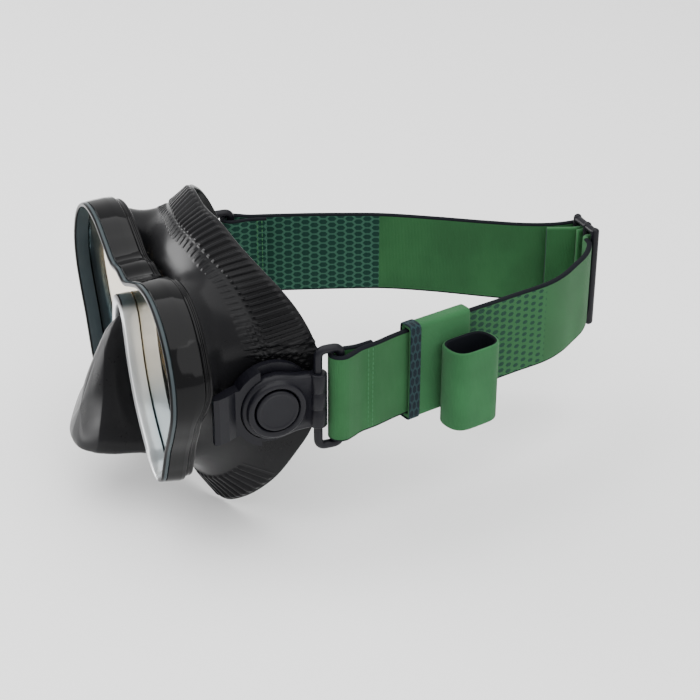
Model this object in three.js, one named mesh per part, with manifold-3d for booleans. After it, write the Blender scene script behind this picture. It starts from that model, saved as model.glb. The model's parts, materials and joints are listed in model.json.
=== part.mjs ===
// Diving mask: one notched glass pane in a deep frame, a silicone skirt with a nose pocket,
// two swivelling push-button buckles, and a padded head strap with a slider and a snorkel keeper.
// Units are millimetres. The mask looks along -Y, +X is the wearer's left and +Z is up.
// The model is drawn about the dip of the frame over the nose, then moved so that the origin
// is the middle of the skirt's rear opening, where a face holds the mask.
import * as THREE from 'three';
import { ParametricGeometry } from 'three/addons/geometries/ParametricGeometry.js';
import { mergeVertices } from 'three/addons/utils/BufferGeometryUtils.js';
import Module from 'manifold-3d';

// ---------------------------------------------------------------- driving dimensions
const SEAL_CENTRE = new THREE.Vector3(0, 52, -40);   // middle of the rear opening
const GAP = 0.3;                 // clearance between touching pieces
const RUN = 0.4;                 // clearance between pieces that move

const FRAME_FRONT = 1.2;         // frame body starts behind the bezel
const FRAME_BACK = 13;
const BEZEL_FRONT = -1.4;
const BEZEL_OUTER = 0.5;         // the bezel's edges, as distances inside the outline
const BEZEL_INNER = 3.0;
const NOTCH_EXTRA = 2.6;         // the bezel is wider beside the nose,
const NOTCH_HALF_WIDTH = 44;     // within this distance of the middle
const NOTCH_TOP = -12;           // and below this height
const GLASS_FRONT = 5.5;         // the glass sits deep inside the bezel
const GLASS_THICK = 3.2;
const GLASS_INSET = 1.3;
const LEDGE_INSET = 3.6;         // ledge that the glass rests against
const CLAMP_OUTER = 1.2;         // the retaining ring's edges, as distances inside the outline
const CLAMP_INNER = 4.8;
const CLAMP_DEPTH = 3.2;
const SKIRT_WALL = 1.8;
const EDGE_WALL = 1.4;           // the skirt thins towards the face

const BUCKLE_Y = 44.5;           // swivel axis of both buckles
const BUCKLE_Z = -39;
const BASE_BACK = 65.2;          // plate of the base, as distance from the middle of the mask
const BASE_PLATE = 2.8;
const BASE_R = 18.5;
const BASE_ARM_HALF_HEIGHT = 10.5;
const COLLAR_FACE = 72.4;        // outer face of the collar in front of the housing
const COLLAR_REACH = 6;          // the collar stops this far in front of the axis
const BASE_REACH = 14;           // the base's plate stops this far behind the axis
const HOUSING_BACK = 68.4;
const HOUSING_FACE = 76;
const HOUSING_R = 14.6;
const HOUSING_FLOOR = 1.6;
const BUTTON_R = 9.2;
const BUTTON_THICK = 2.2;
const BUTTON_PROUD = 0.4;
const PIN_R = 2.6;
const PIN_HEAD_R = 4.2;
const PIN_HEAD = 0.9;

const RING_X = 72.2;             // plane of the strap ring
const RING_FRONT_Y = 63.4;       // axis of the bar held by the buckle
const RING_BACK_Y = 73.2;        // axis of the bar that the strap wraps
const RING_BAR_R = 1.9;
const RING_HALF_HEIGHT = 22.6;
const BARREL_R = 3.8;
const BARREL_HALF_HEIGHT = 12.5;
const RING_CORNER = 3.4;
const TOOL_FROM = 60;            // cutting tools run between these distances, past every buckle part
const TOOL_TO = 90;

const STRAP_HALF_HEIGHT = 20;
const STRAP_THICK = 2.4;
const LOOP_R = 4;                // middle of the strap where it wraps the ring's bar
const KEEPER_WALL = 2;

// ---------------------------------------------------------------- solids and placing
const wasm = await Module();
wasm.setup();

function toSolid(geometry) {
  const bare = geometry.clone();
  bare.deleteAttribute('normal');
  bare.deleteAttribute('uv');
  const merged = mergeVertices(bare, 1e-4);
  return new wasm.Manifold(new wasm.Mesh({
    numProp: 3,
    vertProperties: Float32Array.from(merged.attributes.position.array),
    triVerts: Uint32Array.from(merged.index.array),
  }));
}

function toGeometry(solid) {
  const mesh = solid.getMesh();
  const geometry = new THREE.BufferGeometry();
  geometry.setAttribute('position', new THREE.BufferAttribute(mesh.vertProperties, 3));
  geometry.setIndex(new THREE.BufferAttribute(mesh.triVerts, 1));
  return geometry;
}

function cut(body, ...tools) {
  return toGeometry(tools.reduce((solid, tool) => solid.subtract(toSolid(tool)), toSolid(body)));
}

function join(body, ...others) {
  return toGeometry(others.reduce((solid, other) => solid.add(toSolid(other)), toSolid(body)));
}

function mirrored(geometry) {
  const copy = geometry.index ? geometry.toNonIndexed() : geometry.clone();
  const place = copy.attributes.position;
  for (let i = 0; i < place.count; i += 3) {
    const [ax, ay, az] = [place.getX(i), place.getY(i), place.getZ(i)];
    const [bx, by, bz] = [place.getX(i + 1), place.getY(i + 1), place.getZ(i + 1)];
    place.setXYZ(i, -bx, by, bz);
    place.setXYZ(i + 1, -ax, ay, az);
    place.setX(i + 2, -place.getX(i + 2));
  }
  return mergeVertices(copy);
}

// A flat shape drawn in (y, z) and thickened along x, or in (x, z) along y, or in (x, y) along z.
function alongX(shape, from, to) {
  const geometry = new THREE.ExtrudeGeometry(shape, { depth: to - from, bevelEnabled: false });
  const turn = new THREE.Matrix4().makeBasis(
    new THREE.Vector3(0, 1, 0), new THREE.Vector3(0, 0, 1), new THREE.Vector3(1, 0, 0));
  return geometry.applyMatrix4(turn).translate(from, 0, 0);
}

function alongY(shape, from, to) {
  const geometry = new THREE.ExtrudeGeometry(shape, { depth: to - from, bevelEnabled: false });
  return geometry.rotateX(Math.PI / 2).translate(0, to, 0);
}

function alongZ(shape, from, to) {
  return new THREE.ExtrudeGeometry(shape, { depth: to - from, bevelEnabled: false }).translate(0, 0, from);
}

function disc(y, z, radius, segments = 40) {
  const points = [];
  for (let i = 0; i < segments; i += 1) {
    const turn = 2 * Math.PI * i / segments;
    points.push(new THREE.Vector2(y + radius * Math.cos(turn), z + radius * Math.sin(turn)));
  }
  return new THREE.Shape(points);
}

function roundedRectangle(left, bottom, right, top, radius) {
  const shape = new THREE.Shape();
  shape.moveTo(left + radius, bottom);
  shape.lineTo(right - radius, bottom);
  shape.absarc(right - radius, bottom + radius, radius, -Math.PI / 2, 0);
  shape.lineTo(right, top - radius);
  shape.absarc(right - radius, top - radius, radius, 0, Math.PI / 2);
  shape.lineTo(left + radius, top);
  shape.absarc(left + radius, top - radius, radius, Math.PI / 2, Math.PI);
  shape.lineTo(left, bottom + radius);
  shape.absarc(left + radius, bottom + radius, radius, Math.PI, 1.5 * Math.PI);
  return new THREE.Shape(shape.getPoints(5));
}

// ---------------------------------------------------------------- materials
function finish(colour, roughness, metalness = 0) {
  return new THREE.MeshStandardMaterial({ color: colour, roughness, metalness });
}

const looks = {
  glass: finish(0xd8dccf, 0.05),
  bezel: finish(0xb9bec0, 0.2, 0.6),
  frame: finish(0x15161a, 0.25),
  silicone: finish(0x17181b, 0.4),
  buckle: finish(0x202127, 0.45),
  steel: finish(0xb0b2b5, 0.3, 1),
  strap: finish(0x3d7a4c, 0.9),
};

const mask = new THREE.Group();
mask.position.copy(SEAL_CENTRE).negate();

function add(name, geometry, look) {
  const mesh = new THREE.Mesh(geometry, looks[look].clone());
  mesh.name = name;
  mask.add(mesh);
}

// ---------------------------------------------------------------- outline of the front
// Half of the outline, from the dip over the nose, round the lens and up the nose notch.
const HALF_OUTLINE = [
  [0, 0], [10, -1], [22, 3.5], [34, 8], [46, 9.3], [57, 7.2], [67, 1.5], [75, -8], [79.6, -20],
  [79, -32], [73.5, -44], [67, -55], [62, -66], [57.5, -74], [50, -78], [41, -76.5], [31, -69.5],
  [21.5, -60.5], [14, -50], [9, -39], [6, -28], [3.8, -21.5], [0, -18.5],
];

function mirroredLoop(half) {
  const right = half.slice(1, -1).reverse().map(([x, ...rest]) => [-x, ...rest]);
  return [...half, ...right];
}

function smoothLoop(points, count) {
  const curve = new THREE.CatmullRomCurve3(
    points.map(([x, y, z]) => new THREE.Vector3(x, y, z)), true, 'centripetal');
  return curve.getSpacedPoints(count).slice(0, count);
}

const OUTLINE_STEPS = 100;
const outline = smoothLoop(mirroredLoop(HALF_OUTLINE).map(([x, z]) => [x, z, 0]), OUTLINE_STEPS);

function notchNearness(point) {
  const beside = THREE.MathUtils.smoothstep(NOTCH_HALF_WIDTH - Math.abs(point.x), 0, 10);
  return beside * THREE.MathUtils.smoothstep(NOTCH_TOP - point.y, 0, 8);
}

// The outline moved inwards; it may move further beside the nose notch.
function inset(distance, extra = 0) {
  return outline.map((point, i) => {
    const before = outline[(i + OUTLINE_STEPS - 1) % OUTLINE_STEPS];
    const after = outline[(i + 1) % OUTLINE_STEPS];
    const along = after.clone().sub(before).normalize();
    const step = distance + extra * notchNearness(point);
    return new THREE.Vector2(point.x + along.y * step, point.y - along.x * step);
  });
}

// A plate of the outline's shape with a smaller outline cut through it.
function rim(outer, inner, from, to) {
  return cut(alongY(new THREE.Shape(outer), from, to), alongY(new THREE.Shape(inner), from - 1, to + 1));
}

const GLASS_BACK = GLASS_FRONT + GLASS_THICK;
add('lens', alongY(new THREE.Shape(inset(GLASS_INSET)), GLASS_FRONT, GLASS_BACK), 'glass');
const bezelHole = inset(BEZEL_INNER, NOTCH_EXTRA);
const bezelFlange = rim(inset(BEZEL_OUTER), bezelHole, BEZEL_FRONT, FRAME_FRONT - GAP);
const bezelWall = rim(inset(GLASS_INSET), bezelHole, FRAME_FRONT - 1, GLASS_FRONT - GAP);
add('front_bezel', join(bezelFlange, bezelWall), 'bezel');
add('frame', cut(
  rim(inset(0), inset(LEDGE_INSET), FRAME_FRONT, FRAME_BACK),
  alongY(new THREE.Shape(inset(GLASS_INSET - GAP)), FRAME_FRONT - 1, GLASS_BACK + GAP)), 'frame');
const CLAMP_FRONT = FRAME_BACK + GAP;
add('retaining_ring', rim(inset(CLAMP_OUTER), inset(CLAMP_INNER), CLAMP_FRONT, CLAMP_FRONT + CLAMP_DEPTH), 'frame');

// ---------------------------------------------------------------- skirt
// Half rings as (x, y, z), from the middle of the forehead round the temple to under the nose.
const SKIRT_FRONT = [
  [0, 17, -7], [14, 17, -6], [30, 17, 2], [45, 17, 4.5], [58, 17, 1.5], [68, 17, -7], [72.5, 17, -19],
  [71.5, 17, -31], [67, 17, -43], [61, 17, -54], [56, 17, -65], [47, 17, -72.5], [33, 17, -79],
  [16, 17, -88], [0, 17, -90],
];
const SKIRT_NECK = [
  [0, 21, 6], [14, 22, 5.5], [30, 23, 5], [43, 24, 4.5], [54, 25, -0.5], [62, 26, -9], [65, 26.5, -21],
  [64, 27, -34], [62.5, 26.5, -46], [59, 25.5, -58], [53, 24, -69], [45, 22.5, -77], [31, 21, -84],
  [14, 19.5, -90], [0, 19, -91],
];
const SKIRT_FOLD = [
  [0, 27, 14], [14, 28, 14], [30, 31, 11], [43, 35, 6.5], [52, 38.5, -1], [58.5, 42, -11], [60.5, 45, -24],
  [60.5, 46, -38], [59.5, 44, -53], [56, 40, -67], [48.5, 34, -79], [38, 28, -88], [25, 24, -92],
  [12, 22, -92.5], [0, 21.5, -92.5],
];
const SKIRT_EDGE = [
  [0, 38.5, 22], [18, 39.5, 22.3], [35, 43, 17.2], [48, 48.5, 10.8], [57, 54, 4], [62, 60, -6],
  [64.3, 65, -19], [64.8, 67, -38], [63.5, 63.5, -57], [59, 57, -72], [51, 49.5, -88], [40, 40, -101],
  [29, 33.5, -106.5], [14, 29, -100], [0, 27, -97],
];
const SKIRT_STEPS = 60;
const SKIRT_SPANS = 6;

// A thin wall between nested rings, listed from front to back: out along the outside, round the
// rear edge and back inside. With a pole, the rings start at that point and the front is closed.
function shell(rings, steps, spans, pole = null) {
  const curves = rings.map((ring) => new THREE.CatmullRomCurve3(
    mirroredLoop(ring).map((point) => new THREE.Vector3(...point)), true));
  const meridian = (turn, along) => {
    const points = curves.map((curve) => curve.getPoint(turn));
    return new THREE.CatmullRomCurve3(pole ? [pole, ...points] : points).getPoint(along);
  };
  const last = 2 * spans + (pole ? 1 : 2);
  const surface = (round, across, target) => {
    const turn = (Math.round(round * steps) % steps) / steps;
    const level = pole ? Math.round(across * last) : Math.round(across * last) % last;
    const outside = level <= spans;
    const along = outside ? level / spans : (2 * spans + 1 - level) / spans;
    const wall = THREE.MathUtils.lerp(SKIRT_WALL, EDGE_WALL, along);
    if (pole && along === 0) {
      target.copy(pole).y += outside ? 0 : wall;
      return;
    }
    const ahead = meridian((turn + 0.004) % 1, along).sub(meridian((turn + 0.996) % 1, along));
    const back = meridian(turn, Math.min(along + 0.02, 1)).sub(meridian(turn, Math.max(along - 0.02, 0)));
    const outwards = ahead.cross(back).normalize();
    target.copy(meridian(turn, along)).addScaledVector(outwards, outside ? 0 : -wall);
  };
  return toGeometry(toSolid(new ParametricGeometry(surface, steps, last)));
}

add('skirt', shell([SKIRT_FRONT, SKIRT_NECK, SKIRT_FOLD, SKIRT_EDGE], SKIRT_STEPS, SKIRT_SPANS), 'silicone');

// ---------------------------------------------------------------- nose pocket
// It comes forward through the notch; half rings from the front of the nose to the back.
const NOSE_POLE = new THREE.Vector3(0, -21, -64);
const NOSE_FACE = [
  [0, -13.5, -44], [1.6, -14, -45], [3.2, -15, -48], [4.8, -16.5, -53], [6.4, -18, -59], [8, -20, -66],
  [9, -22, -72], [9, -23.8, -76], [7.7, -24.8, -78.5], [5.4, -25.2, -79.5], [2.6, -25.4, -80],
  [0, -25.4, -80],
];
const NOSE_RIDGE = [
  [0, -9, -33], [2.6, -9, -34.5], [5.2, -10, -39], [8.3, -11.5, -46], [11.5, -13, -54], [14.7, -15, -61],
  [17.6, -17, -67], [19.2, -18.5, -73], [17.6, -19.5, -78], [12.8, -19.5, -80.5], [6.4, -19.5, -81.5],
  [0, -19.5, -81.5],
];
const NOSE_MIDDLE = [
  [0, -5, -27], [3, -5.5, -29], [5, -6, -34], [7.6, -7, -42], [11.8, -8.5, -51], [16.3, -10, -59],
  [20.5, -11, -66], [22.8, -12, -73], [22, -12.3, -77.5], [16.8, -12.3, -80.5], [8.6, -12.3, -81.5],
  [0, -12.3, -81.5],
];
const NOSE_NOTCH = [
  [0, 0, -22.5], [2.6, 0, -25.5], [4.4, 0, -30], [7, 0, -39], [11.4, 0, -50], [17.5, 0, -59.6],
  [23, 0, -67], [26, 0, -72.5], [26, 0, -77], [21, 0, -80.5], [11, 0, -82.5], [0, 0, -83],
];
const NOSE_BACK = [
  [0, 16.4, -21], [2.8, 16.4, -24], [4.8, 16.4, -29], [7.6, 16.4, -39], [12.3, 16.4, -50],
  [19, 16.4, -59.6], [25.5, 16.4, -67], [29.5, 16.4, -74], [29.5, 16.4, -80], [23, 16.4, -86],
  [12, 16.4, -89.5], [0, 16.4, -90.5],
];
const NOSE_STEPS = 36;
const NOSE_SPANS = 7;
add('nose_pocket', shell([NOSE_FACE, NOSE_RIDGE, NOSE_MIDDLE, NOSE_NOTCH, NOSE_BACK], NOSE_STEPS, NOSE_SPANS,
  NOSE_POLE), 'silicone');

// ---------------------------------------------------------------- buckles
// Each is drawn on the wearer's left, with its axis along X, and mirrored for the right.
function turned(radius, from, to, segments = 32) {
  return alongX(disc(BUCKLE_Y, BUCKLE_Z, radius, segments), from, to);
}

function block(x0, y0, z0, x1, y1, z1) {
  return new THREE.BoxGeometry(x1 - x0, y1 - y0, z1 - z0)
    .translate((x0 + x1) / 2, (y0 + y1) / 2, (z0 + z1) / 2);
}

// A tool that removes everything of a buckle behind the given y.
function behind(y) {
  return block(TOOL_FROM, y, BUCKLE_Z - 2 * BASE_R, TOOL_TO, y + 4 * BASE_R, BUCKLE_Z + 2 * BASE_R);
}

function buckleBase() {
  const arm = new THREE.Shape([
    [73.2, 17.2], [76.3, 17.2], [76.3, 19.5], [74.6, 24], [72.4, 27.5], [72.4, 33], [BASE_BACK + 0.6, 33],
    [BASE_BACK + 0.6, 31], [67.8, 26], [70.6, 21],
  ].map(([x, y]) => new THREE.Vector2(x, y)));
  const armBlock = alongZ(arm, BUCKLE_Z - BASE_ARM_HALF_HEIGHT, BUCKLE_Z + BASE_ARM_HALF_HEIGHT);
  const plate = turned(BASE_R, BASE_BACK, BASE_BACK + BASE_PLATE);
  const collar = cut(turned(BASE_R, BASE_BACK + 0.5, COLLAR_FACE), turned(HOUSING_R + RUN, TOOL_FROM, TOOL_TO),
    behind(BUCKLE_Y - COLLAR_REACH));
  const body = cut(join(armBlock, plate), turned(HOUSING_R + RUN, BASE_BACK + BASE_PLATE, TOOL_TO));
  return cut(join(body, collar), behind(BUCKLE_Y + BASE_REACH), turned(PIN_R + 0.1, TOOL_FROM, TOOL_TO, 20));
}

function pivotPin() {
  const inner = BASE_BACK - GAP;
  const outer = HOUSING_BACK + HOUSING_FLOOR + GAP;
  return join(turned(PIN_R, inner - PIN_HEAD / 2, outer + PIN_HEAD / 2, 20),
    turned(PIN_HEAD_R, inner - PIN_HEAD, inner, 24), turned(PIN_HEAD_R, outer, outer + PIN_HEAD, 24));
}

function housing() {
  const arm = roundedRectangle(BUCKLE_Y, BUCKLE_Z - BARREL_HALF_HEIGHT, RING_FRONT_Y,
    BUCKLE_Z + BARREL_HALF_HEIGHT, 2);
  const body = join(turned(HOUSING_R, HOUSING_BACK, HOUSING_FACE), alongX(arm, HOUSING_BACK, HOUSING_FACE - 1));
  const barrel = new THREE.CylinderGeometry(BARREL_R, BARREL_R, 2 * BARREL_HALF_HEIGHT, 20)
    .rotateX(Math.PI / 2).translate(RING_X, RING_FRONT_Y, BUCKLE_Z);
  const bore = new THREE.CylinderGeometry(RING_BAR_R + RUN, RING_BAR_R + RUN, 40, 20)
    .rotateX(Math.PI / 2).translate(RING_X, RING_FRONT_Y, BUCKLE_Z);
  const well = turned(BUTTON_R + RUN, HOUSING_BACK + HOUSING_FLOOR, TOOL_TO);
  return cut(join(body, barrel), bore, well, turned(PIN_R + RUN, TOOL_FROM, TOOL_TO, 20));
}

function button() {
  const face = HOUSING_FACE + BUTTON_PROUD;
  const chamfer = 0.8;
  const profile = [
    [0, 0], [BUTTON_R, 0], [BUTTON_R, BUTTON_THICK - chamfer], [BUTTON_R - chamfer, BUTTON_THICK],
    [0, BUTTON_THICK],
  ].map(([radius, height]) => new THREE.Vector2(radius, height));
  return new THREE.LatheGeometry(profile, 36).rotateZ(-Math.PI / 2)
    .translate(face - BUTTON_THICK, BUCKLE_Y, BUCKLE_Z);
}

// A ring of wire, given as a function of the turn, with a round section.
function wireRing(middle, radius, steps, sides) {
  const surface = (round, about, target) => {
    const turn = (Math.round(round * steps) % steps) / steps;
    const angle = 2 * Math.PI * (Math.round(about * sides) % sides) / sides;
    const here = middle(turn);
    const ahead = middle((turn + 0.002) % 1).sub(middle((turn + 0.998) % 1)).normalize();
    const outwards = new THREE.Vector3().crossVectors(ahead, new THREE.Vector3(1, 0, 0)).normalize();
    const side = new THREE.Vector3().crossVectors(outwards, ahead);
    target.copy(here).addScaledVector(outwards, radius * Math.cos(angle))
      .addScaledVector(side, radius * Math.sin(angle));
  };
  return toGeometry(toSolid(new ParametricGeometry(surface, steps, sides)));
}

function waveSpring() {
  const wire = 0.3;
  const waves = 3;
  const swing = 0.6;
  const radius = 6.4;
  const lowest = HOUSING_BACK + HOUSING_FLOOR + GAP + wire;
  const middle = (turn) => new THREE.Vector3(
    lowest + swing * (1 + Math.cos(2 * Math.PI * waves * turn)),
    BUCKLE_Y + radius * Math.cos(2 * Math.PI * turn), BUCKLE_Z + radius * Math.sin(2 * Math.PI * turn));
  return wireRing(middle, wire, 36, 5);
}

function strapRing() {
  const path = roundedRectangle(RING_FRONT_Y, BUCKLE_Z - RING_HALF_HEIGHT, RING_BACK_Y,
    BUCKLE_Z + RING_HALF_HEIGHT, RING_CORNER);
  const curve = new THREE.CatmullRomCurve3(
    path.getPoints().slice(0, -1).map((point) => new THREE.Vector3(RING_X, point.x, point.y)), true, 'centripetal');
  return wireRing((turn) => curve.getPointAt(turn), RING_BAR_R, 40, 8);
}

for (const [side, place] of [['left', (geometry) => geometry], ['right', mirrored]]) {
  add(`buckle_base_${side}`, place(buckleBase()), 'buckle');
  add(`buckle_pivot_${side}`, place(pivotPin()), 'steel');
  add(`buckle_housing_${side}`, place(housing()), 'buckle');
  add(`release_button_${side}`, place(button()), 'buckle');
  add(`button_spring_${side}`, place(waveSpring()), 'steel');
  add(`strap_ring_${side}`, place(strapRing()), 'buckle');
}

// ---------------------------------------------------------------- head strap
// A band of even thickness along a plan route, standing on edge.
function band(route, halfHeight, steps) {
  const curve = new THREE.CatmullRomCurve3(route.map(([x, y]) => new THREE.Vector3(x, y, 0)), false, 'centripetal');
  const middle = curve.getSpacedPoints(steps);
  const offset = (distance) => middle.map((point, i) => {
    const along = middle[Math.min(i + 1, steps)].clone().sub(middle[Math.max(i - 1, 0)]).normalize();
    return new THREE.Vector2(point.x + along.y * distance, point.y - along.x * distance);
  });
  const shape = new THREE.Shape([...offset(STRAP_THICK / 2), ...offset(-STRAP_THICK / 2).reverse()]);
  return alongZ(shape, BUCKLE_Z - halfHeight, BUCKLE_Z + halfHeight);
}

// The route from a sewn tail, round the ring's bar and away along the outside.
function ringWrap(side, along) {
  const bar = new THREE.Vector2(side * RING_X, RING_BACK_Y);
  const outwards = new THREE.Vector2(along.y, -along.x).multiplyScalar(side);
  const at = (far, out) => bar.clone().addScaledVector(along, far).addScaledVector(outwards, out).toArray();
  const tail = [at(17, -1.5), at(9, -1.7), at(4, -3.1)];
  const bend = [];
  for (let turn = -90; turn <= 90; turn += 30) {
    const angle = THREE.MathUtils.degToRad(turn);
    bend.push(at(-LOOP_R * Math.cos(angle), LOOP_R * Math.sin(angle)));
  }
  return [...tail, ...bend, at(4, 3.1), at(9, 1.7), at(17, 1.5)];
}

const LEFT_CORNER = new THREE.Vector2(44.5, 183);
const leftAlong = LEFT_CORNER.clone().sub(new THREE.Vector2(RING_X, RING_BACK_Y)).normalize();
const rightAlong = new THREE.Vector2(-62.5, 108).sub(new THREE.Vector2(-RING_X, RING_BACK_Y)).normalize();
const SLIDER_Y = 224;            // middle of the slider's plate
const SLIDER_HALF = 2;
const INSIDE_Y = SLIDER_Y - SLIDER_HALF - RUN - STRAP_THICK / 2;
const OUTSIDE_Y = SLIDER_Y + SLIDER_HALF + RUN + STRAP_THICK / 2;

const leftStraight = [30, 50, 70, 95].map((far) => [RING_X + leftAlong.x * far, RING_BACK_Y + leftAlong.y * far]);
const leftRoute = [
  ...ringWrap(1, leftAlong), ...leftStraight, LEFT_CORNER.toArray(), [39.5, 193], [32, 203], [25, 211.5],
  [19, 216.6], [14, INSIDE_Y - 0.9], [10.5, INSIDE_Y - 0.2], [8.1, INSIDE_Y + 0.2], [7.1, SLIDER_Y - 2.2],
  [6.95, SLIDER_Y], [6.9, SLIDER_Y + 2.2], [5.7, OUTSIDE_Y + 0.1], [3.4, OUTSIDE_Y + 0.4], [1.1, OUTSIDE_Y],
  [0.1, SLIDER_Y + 2.2], [0, SLIDER_Y], [0, INSIDE_Y + 0.4],
];
const rightRoute = [
  ...ringWrap(-1, rightAlong), [-58.5, 122], [-50.5, 143], [-38, 165], [-25, 185], [-16, 200], [-11.8, 210],
  [-10.2, 217], [-9.9, SLIDER_Y - 2], [-9.9, SLIDER_Y + 1.5], [-8.7, OUTSIDE_Y + 0.2], [-6.4, OUTSIDE_Y + 0.7],
  [-4.2, OUTSIDE_Y + 0.2], [-3.1, SLIDER_Y + 2], [-3.1, SLIDER_Y - 2], [-3.6, SLIDER_Y - 4.6], [-5.6, 214],
  [-7.6, 208.6],
];
add('strap_left', band(leftRoute, STRAP_HALF_HEIGHT, 84), 'strap');
add('strap_right', band(rightRoute, STRAP_HALF_HEIGHT, 84), 'strap');

// ---------------------------------------------------------------- slider at the back
const SLIDER = { right: -8, left: 12.7, halfHeight: 25, corner: 3.5, slotHalfHeight: 20.6 };
const SLIDER_SLOTS = [[-4.8, 1.8], [5.1, 9.1]];
const sliderPlate = alongY(
  roundedRectangle(SLIDER.right, BUCKLE_Z - SLIDER.halfHeight, SLIDER.left, BUCKLE_Z + SLIDER.halfHeight,
    SLIDER.corner),
  SLIDER_Y - SLIDER_HALF, SLIDER_Y + SLIDER_HALF);
const sliderSlots = SLIDER_SLOTS.map(([from, to]) => block(
  from, SLIDER_Y - 2 * SLIDER_HALF, BUCKLE_Z - SLIDER.slotHalfHeight,
  to, SLIDER_Y + 2 * SLIDER_HALF, BUCKLE_Z + SLIDER.slotHalfHeight));
add('slider', cut(sliderPlate, ...sliderSlots), 'buckle');

// ---------------------------------------------------------------- snorkel keeper
// Drawn along the left strap: x outwards, y along the strap from the ring's bar.
function onLeftStrap(geometry) {
  return geometry.rotateZ(Math.atan2(-leftAlong.x, leftAlong.y)).translate(RING_X, RING_BACK_Y, BUCKLE_Z);
}

const SLEEVE_FROM = 34;
const SLEEVE_TO = 66;
const SLEEVE_CORNER = 1.6;
const SLEEVE_HALF_THICK = STRAP_THICK / 2 + RUN + KEEPER_WALL;
const SLEEVE_HALF_HEIGHT = STRAP_HALF_HEIGHT + RUN + KEEPER_WALL;
const sleeveSection = roundedRectangle(-SLEEVE_HALF_THICK, -SLEEVE_HALF_HEIGHT, SLEEVE_HALF_THICK,
  SLEEVE_HALF_HEIGHT, SLEEVE_CORNER);
const sleeveHole = block(-STRAP_THICK / 2 - RUN, SLEEVE_FROM - 5, -STRAP_HALF_HEIGHT - RUN,
  STRAP_THICK / 2 + RUN, SLEEVE_TO + 5, STRAP_HALF_HEIGHT + RUN);
add('keeper_sleeve', onLeftStrap(cut(alongY(sleeveSection, SLEEVE_FROM, SLEEVE_TO), sleeveHole)), 'strap');

const TUBE = { from: 47, to: 72, depth: 16.5, bottom: -26, top: 11.5, corner: 8 };
const tubeBack = SLEEVE_HALF_THICK + GAP;
const tubeOuter = roundedRectangle(tubeBack, TUBE.from, tubeBack + TUBE.depth, TUBE.to, TUBE.corner);
const tubeInner = roundedRectangle(tubeBack + KEEPER_WALL, TUBE.from + KEEPER_WALL,
  tubeBack + TUBE.depth - KEEPER_WALL, TUBE.to - KEEPER_WALL, TUBE.corner - KEEPER_WALL);
add('keeper_tube', onLeftStrap(cut(alongZ(tubeOuter, TUBE.bottom, TUBE.top),
  alongZ(tubeInner, TUBE.bottom - 1, TUBE.top + 1))), 'strap');

export default mask;
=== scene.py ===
"""Diving mask: the looks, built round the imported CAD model.

Shapes are drawn in millimetres about the dip of the frame over the nose, as the CAD is, with
+X to the wearer's left, +Y back and +Z up, and are moved into the row frame as they are made.
"""

import json
import math

import bmesh
import bpy
import numpy as np
from mathutils import Matrix, Vector


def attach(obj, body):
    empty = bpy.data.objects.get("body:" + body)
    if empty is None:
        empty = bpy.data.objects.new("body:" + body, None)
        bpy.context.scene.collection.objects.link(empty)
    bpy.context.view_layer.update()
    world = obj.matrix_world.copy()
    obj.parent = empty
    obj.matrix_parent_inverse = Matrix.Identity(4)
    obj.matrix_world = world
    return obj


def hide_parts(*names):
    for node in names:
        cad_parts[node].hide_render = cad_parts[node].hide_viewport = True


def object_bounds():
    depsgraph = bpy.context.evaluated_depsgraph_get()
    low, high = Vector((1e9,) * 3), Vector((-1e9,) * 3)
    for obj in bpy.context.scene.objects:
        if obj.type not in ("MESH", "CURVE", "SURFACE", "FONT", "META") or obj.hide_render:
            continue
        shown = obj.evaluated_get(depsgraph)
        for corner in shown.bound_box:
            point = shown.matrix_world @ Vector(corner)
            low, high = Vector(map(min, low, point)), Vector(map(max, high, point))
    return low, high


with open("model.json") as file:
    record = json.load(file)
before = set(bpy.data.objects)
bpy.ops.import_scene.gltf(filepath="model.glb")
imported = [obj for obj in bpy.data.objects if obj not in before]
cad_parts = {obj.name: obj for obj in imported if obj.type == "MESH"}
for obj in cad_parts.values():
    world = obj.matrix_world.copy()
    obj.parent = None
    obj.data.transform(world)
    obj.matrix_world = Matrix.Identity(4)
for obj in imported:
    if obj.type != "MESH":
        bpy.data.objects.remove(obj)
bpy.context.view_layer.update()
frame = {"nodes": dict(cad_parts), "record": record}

# ------------------------------------------------------------------ driving dimensions
MM = 0.001
FRONT_MOUNT_DRAWN = np.array([0.0, -1.4, -1.75])      # the front_face mount in the drawing
FRONT_MOUNT = next(m for m in frame["record"]["mounts"] if m["name"] == "front_face")
ORIGIN = np.array(FRONT_MOUNT["pos_m"]) - FRONT_MOUNT_DRAWN * MM

TRIM_FRONT, TRIM_BACK = -1.4, 5.2
TRIM_STEP = 0.9                  # where the trim's lip ends on the frame's front
GLASS_FRONT, GLASS_BACK = 5.5, 8.7
FRAME_FRONT, FRAME_BACK = 1.2, 13.0
FRAME_STEP = 9.0                 # where the frame widens inwards, behind the glass
CLAMP_FRONT, CLAMP_BACK = 13.25, 16.5
TUCK = 4.0                       # how far the frame's rear comes forward below the temples
BUCKLE_Y, BUCKLE_Z = 44.5, -39.0
HOUSING_BACK, HOUSING_FACE = 68.4, 76.0
HOUSING_R = 14.6
BUTTON_R = 9.2
STRAP_RING_X = 72.2
STRAP_RING_FRONT_Y, STRAP_RING_BACK_Y = 63.4, 73.2
STRAP_RING_HALF_HEIGHT = 22.6
WIRE_R = 1.9
STRAP_HALF_HEIGHT = 20.0
STRAP_THICK = 2.4
SLIDER_Y = 224.0
FOLDED_END = 22.0                # length of strap past the slider, folded back on itself


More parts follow.
